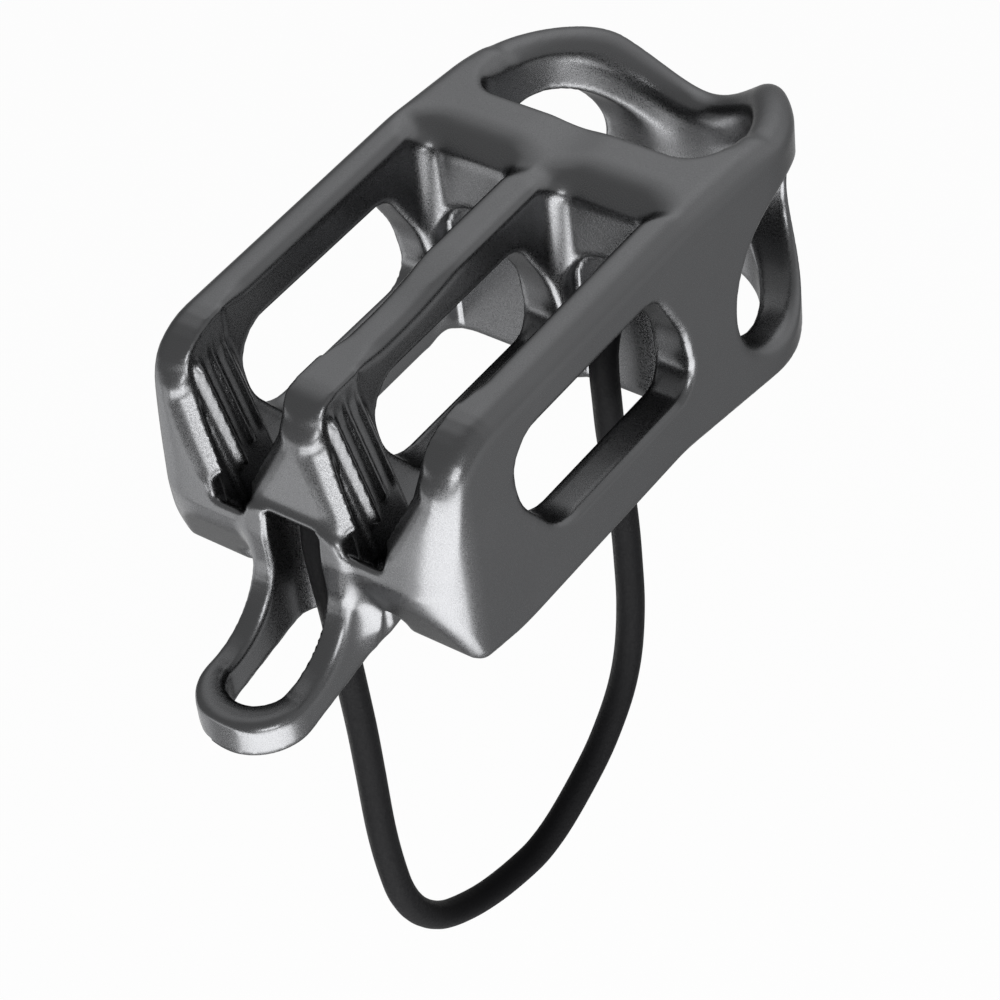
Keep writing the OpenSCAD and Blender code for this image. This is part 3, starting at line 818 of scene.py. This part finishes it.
class BELAY_OT_cable(bpy.types.Operator):
    """Builds the sheathed cable from the front hole round the loop to the rear hole"""

    bl_idname = "belay.cable"
    bl_label = "Keeper Cable"

    def execute(self, context):
        path = smooth_route(FRONT_ROUTE + LOOP_ROUTE + REAR_ROUTE, CABLE_STEPS)
        points, walls, ends = tube(path, CABLE_D, CABLE_SIDES)
        mesh = bpy.data.meshes.new("keeper_cable")
        mesh.from_pydata((points * MM).tolist(), [], walls.tolist() + ends.tolist())
        mesh.polygons.foreach_set("use_smooth", np.full(len(mesh.polygons), True))
        obj = bpy.data.objects.new("keeper_cable", mesh)
        context.scene.collection.objects.link(obj)
        dress(obj, sheath_plastic(tuple(context.scene.belay_colours.sheath)))
        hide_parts("loop_sheath", "front_strand_sheath", "rear_strand_sheath")
        axis = Vector(HINGE["axis"]).normalized()
        down = Vector((0, 0, -1))
        down = (down - down.dot(axis) * axis).normalized()
        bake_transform(obj)
        return {"FINISHED"}


class BELAY_OT_inner_parts(bpy.types.Operator):
    """Gives the wire core and the end sleeves their finish"""

    bl_idname = "belay.inner_parts"
    bl_label = "Wire Core and Sleeves"

    def execute(self, context):
        colours = context.scene.belay_colours
        wire = bare_metal("wire_core", tuple(colours.wire), roughness=0.35, scale=2400)
        sleeve = bare_metal("swaged_sleeve", tuple(colours.sleeve), roughness=0.4, scale=1500)
        for name, node in frame["nodes"].items():
            if name.endswith("_core"):
                dress(node, wire)
            elif name.endswith("_ferrule"):
                dress(node, sleeve)
        return {"FINISHED"}


# The camera as it was fitted to the photograph: its lens and sensor in millimetres, its place
# in millimetres, its right, down and forward directions, and its clipping range in metres
LENS = 120.9
SENSOR_W = 36.0
CAMERA_AT = (168.204, -229.226, 225.156)
CAMERA_RIGHT = (0.81405, 0.57335, -0.09265)
CAMERA_DOWN = (0.33975, -0.59948, -0.72470)
CAMERA_AHEAD = (-0.47105, 0.55847, -0.68280)
CAMERA_CLIP = (0.01, 20.0)

# The soft panels: name, place and size in metres, and brightness. All face one point
PANEL_TARGET = (0, -0.03, 0)
PANELS = (
    ("front_panel", (0.22, -0.345, -0.33), (0.8, 0.5), 7.0),
    ("left_panel", (-0.395, -0.11, -0.295), (0.3, 0.3), 2.5),
    ("face_panel", (-0.25, -0.41, -0.19), (0.34, 0.22), 1.5),
    ("mouth_panel", (0.37, -0.36, 0.115), (0.24, 0.2), 8.5),
)

# The floor: half its width in metres, its colour, and the share of its look to the camera
# that is plain white, where the rest keeps the shadow
FLOOR_HALF_W = 3.0
FLOOR_COLOUR = (0.8, 0.8, 0.8)
FLOOR_WHITE = 0.93

# The studio's walls as soft round patches of light: the direction that each lies in, the
# angles in degrees where it starts to fade and where it ends, and its brightness
WORLD_GLOW = 0.5
WORLD_PATCHES = (
    ((-0.45, 0.56, 0.70), 14, 42, 0.6),
    ((0.0, 1.0, 0.1), 20, 65, 0.8),
    ((1.0, 0.5, 0.5), 15, 55, 0.15),
)


def add_camera():
    """The camera at the photograph's place and angle."""
    data = bpy.data.cameras.new("camera")
    data.lens, data.sensor_width = LENS, SENSOR_W
    data.clip_start, data.clip_end = CAMERA_CLIP
    camera = bpy.data.objects.new("camera", data)
    bpy.context.scene.collection.objects.link(camera)
    up, behind = [-v for v in CAMERA_DOWN], [-v for v in CAMERA_AHEAD]
    turn = Matrix((CAMERA_RIGHT, up, behind)).transposed()
    camera.matrix_world = Matrix.Translation(Vector(CAMERA_AT) * MM) @ turn.to_4x4()
    bpy.context.scene.camera = camera


def add_panel(name, at, size, glow):
    """A soft panel out of the camera's sight: its power is glow times pi times its area."""
    data = bpy.data.lights.new(name, "AREA")
    data.shape = "RECTANGLE"
    data.size, data.size_y = size
    data.energy = glow * math.pi * size[0] * size[1]
    lamp = bpy.data.objects.new(name, data)
    bpy.context.scene.collection.objects.link(lamp)
    lamp.location = at
    lamp.rotation_mode = "QUATERNION"
    lamp.rotation_quaternion = (Vector(PANEL_TARGET) - Vector(at)).to_track_quat("-Z", "Y")
    lamp.visible_camera = False


def seen_light(tree):
    """One for rays from the camera and for those that gloss or glass sends on."""
    path = tree.nodes.new("ShaderNodeLightPath")
    total = path.outputs["Is Camera Ray"]
    for name in ("Is Glossy Ray", "Is Transmission Ray"):
        total = combined(tree, "MAXIMUM", total, path.outputs[name])
    return total


def floor_material():
    """A pale floor that is white to the camera and keeps a soft shadow."""
    material = bpy.data.materials.new("floor")
    material.use_nodes = True
    tree = material.node_tree
    tree.nodes.clear()
    out = tree.nodes.new("ShaderNodeOutputMaterial")
    diffuse = tree.nodes.new("ShaderNodeBsdfDiffuse")
    diffuse.inputs["Color"].default_value = (*FLOOR_COLOUR, 1)
    glow = tree.nodes.new("ShaderNodeEmission")
    mix = tree.nodes.new("ShaderNodeMixShader")
    tree.links.new(combined(tree, "MULTIPLY", seen_light(tree), FLOOR_WHITE), mix.inputs["Fac"])
    tree.links.new(diffuse.outputs[0], mix.inputs[1])
    tree.links.new(glow.outputs[0], mix.inputs[2])
    tree.links.new(mix.outputs[0], out.inputs["Surface"])
    return material


def add_floor(level):
    """A square floor at a height in metres."""
    square = ((-1, -1), (1, -1), (1, 1), (-1, 1))
    corners = np.array([(u * FLOOR_HALF_W, v * FLOOR_HALF_W, level) for u, v in square]) / MM
    floor = mesh_object("floor", corners, np.array([[0, 1, 2, 3]]), smooth=False)
    dress(floor, floor_material())


def patch_glow(tree, ahead, direction, full, none, glow):
    """The brightness that one patch adds, from the angle between a ray and its middle."""
    dot = tree.nodes.new("ShaderNodeVectorMath")
    dot.operation = "DOT_PRODUCT"
    dot.inputs[1].default_value = Vector(direction).normalized()
    tree.links.new(ahead, dot.inputs[0])
    near, far = math.cos(math.radians(full)), math.cos(math.radians(none))
    return spread(tree, dot.outputs["Value"], 0, glow, far, near)


def add_world():
    """A grey studio with a few soft patches of light, and white to the camera."""
    world = bpy.data.worlds.new("studio")
    bpy.context.scene.world = world
    world.use_nodes = True
    tree = world.node_tree
    back = next(n for n in tree.nodes if n.type == "BACKGROUND")
    ahead = tree.nodes.new("ShaderNodeTexCoord").outputs["Generated"]
    total = tree.nodes.new("ShaderNodeValue").outputs[0]
    total.default_value = WORLD_GLOW
    for patch in WORLD_PATCHES:
        total = combined(tree, "ADD", total, patch_glow(tree, ahead, *patch))
    path = tree.nodes.new("ShaderNodeLightPath")
    mix = tree.nodes.new("ShaderNodeMix")
    tree.links.new(path.outputs["Is Camera Ray"], mix.inputs["Factor"])
    tree.links.new(total, mix.inputs["A"])
    mix.inputs["B"].default_value = 1.0
    tree.links.new(mix.outputs["Result"], back.inputs["Strength"])
    back.inputs["Color"].default_value = (1, 1, 1, 1)


class BELAY_OT_stage(bpy.types.Operator):
    """Adds the camera, the floor, the lamps and the world"""

    bl_idname = "belay.stage"
    bl_label = "Studio"

    def execute(self, context):
        add_camera()
        add_floor(CAD_BOX[0][2] - context.scene.belay_sizes.floor_drop)
        for panel in PANELS:
            add_panel(*panel)
        add_world()
        context.scene.view_settings.view_transform = "Standard"
        return {"FINISHED"}


class BELAY_PT_panel(bpy.types.Panel):
    """Lists the sizes, the colours and the steps that build the looks"""

    bl_label = "Belay Device"
    bl_idname = "BELAY_PT_panel"
    bl_space_type = "VIEW_3D"
    bl_region_type = "UI"
    bl_category = "Belay Device"

    def draw(self, context):
        for group in (context.scene.belay_sizes, context.scene.belay_colours):
            for key in group.__annotations__:
                self.layout.prop(group, key)
        for step in STEPS:
            self.layout.operator(step.bl_idname)


STEPS = (BELAY_OT_stage, BELAY_OT_cable, BELAY_OT_forging, BELAY_OT_inner_parts)
CLASSES = (BelaySizes, BelayColours, *STEPS, BELAY_PT_panel)


def register():
    """Registers the classes and ties the settings to the scene."""
    for c in CLASSES:
        bpy.utils.register_class(c)
    bpy.types.Scene.belay_sizes = PointerProperty(type=BelaySizes)
    bpy.types.Scene.belay_colours = PointerProperty(type=BelayColours)


def unregister():
    """Takes the settings and classes away again."""
    del bpy.types.Scene.belay_colours
    del bpy.types.Scene.belay_sizes
    for c in reversed(CLASSES):
        bpy.utils.unregister_class(c)


def main():
    """Registers the classes and builds everything in order."""
    register()
    for step in STEPS:
        group, name = step.bl_idname.split(".")
        getattr(getattr(bpy.ops, group), name)()


if __name__ == "__main__":
    main()
